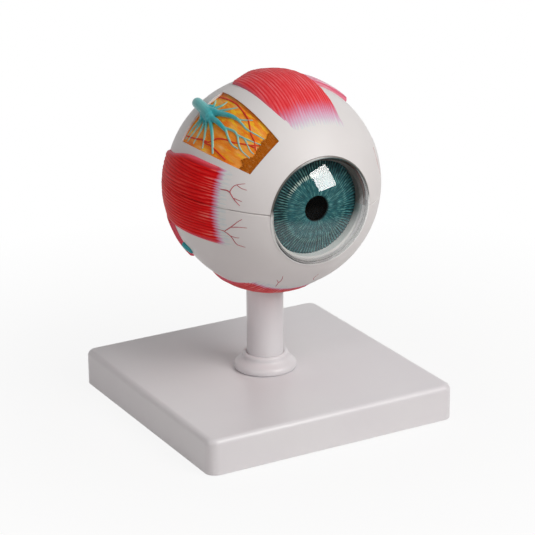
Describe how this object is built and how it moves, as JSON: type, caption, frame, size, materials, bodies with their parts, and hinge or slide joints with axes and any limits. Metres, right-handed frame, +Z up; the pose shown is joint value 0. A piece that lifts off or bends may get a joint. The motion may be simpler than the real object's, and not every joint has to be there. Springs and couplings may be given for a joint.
{
  "type": "eye anatomy model",
  "caption": "Five-times-life-size anatomical eye on a post and square base: the globe splits at its equator and holds choroid bowls, iris, lens and vitreous ball.",
  "frame": {"origin": "on the table, under the centre of the square base; the rubber feet stand on z = 0", "axes": "+Z up along the post, -Y the way the eye looks, +X the nasal side of the eye, -X the temporal side"},
  "size_m": [0.1554, 0.1554, 0.1951],
  "materials": {
    "stand_plastic": "satin, injection moulded",
    "foot_rubber": "matt",
    "fastener_steel": "zinc plated",
    "sclera_white": "satin, painted off-white",
    "cornea_clear": "clear, polished",
    "muscle_red": "painted in fibres, semi-gloss",
    "vein_teal": "painted, semi-gloss",
    "nerve_sheath": "satin",
    "nerve_yellow": "painted, matt",
    "choroid_brown": "painted, matt",
    "retina_orange": "painted, satin",
    "iris_teal": "painted in fine rays",
    "ciliary_grey": "satin",
    "lens_clear": "clear, polished",
    "vitreous_clear": "clear, polished",
    "choroid_orange": "painted, satin",
    "ciliary_brown": "painted, rough"
  },
  "bodies": {
    "stand": {"base_plate": "stand_plastic", "rubber_feet": "foot_rubber", "post_collar": "stand_plastic"},
    "post": {"post": "stand_plastic", "post_washer": "fastener_steel", "post_screw": "fastener_steel"},
    "globe_lower": {"sclera_lower": "sclera_white", "cornea": "cornea_clear", "globe_spigot": "stand_plastic", "inferior_rectus": "muscle_red", "inferior_oblique": "muscle_red", "lateral_rectus_lower": "muscle_red", "medial_rectus_lower": "muscle_red", "vortex_veins_lower": "vein_teal", "optic_nerve_sheath_lower": "nerve_sheath", "optic_nerve_core_lower": "nerve_yellow"},
    "choroid_lower": {"choroid_lower": "choroid_brown", "retina_lower": "retina_orange", "iris_lower": "iris_teal", "ciliary_body_lower": "ciliary_grey"},
    "vitreous": {"vitreous_body": "vitreous_clear"},
    "lens": {"lens": "lens_clear"},
    "choroid_upper": {"choroid_upper": "choroid_brown", "retina_upper": "retina_orange", "iris_upper": "iris_teal", "ciliary_body_upper": "ciliary_grey"},
    "globe_upper": {"sclera_upper": "sclera_white", "superior_rectus": "muscle_red", "superior_oblique": "muscle_red", "lateral_rectus_upper": "muscle_red", "medial_rectus_upper": "muscle_red", "window_panel": "choroid_orange", "window_ciliary_band": "ciliary_brown", "vortex_vein_tree": "vein_teal", "vortex_vein_upper": "vein_teal", "optic_nerve_sheath_upper": "nerve_sheath", "optic_nerve_core_upper": "nerve_yellow"}
  },
  "joints": [
    {"name": "post_turn", "type": "hinge", "parent": "stand", "child": "post", "pos_m": [0, 0, 0.03], "axis": [0, 0, 1], "continuous": true},
    {"name": "globe_lift", "type": "slide", "parent": "post", "child": "globe_lower", "axis": [0, 0, 1], "range_m": [0, 0.04]},
    {"name": "choroid_lift", "type": "slide", "parent": "globe_lower", "child": "choroid_lower", "axis": [0.0755, -0.0436, 0.9962], "range_m": [0, 0.07]},
    {"name": "vitreous_lift", "type": "slide", "parent": "choroid_lower", "child": "vitreous", "axis": [0.0755, -0.0436, 0.9962], "range_m": [0, 0.065]},
    {"name": "lens_lift", "type": "slide", "parent": "vitreous", "child": "lens", "axis": [0.0755, -0.0436, 0.9962], "range_m": [0, 0.05]},
    {"name": "choroid_lid_lift", "type": "slide", "parent": "lens", "child": "choroid_upper", "axis": [0.0755, -0.0436, 0.9962], "range_m": [0, 0.065]},
    {"name": "sclera_lid_lift", "type": "slide", "parent": "choroid_upper", "child": "globe_upper", "axis": [0.0755, -0.0436, 0.9962], "range_m": [0, 0.075]}
  ]
}
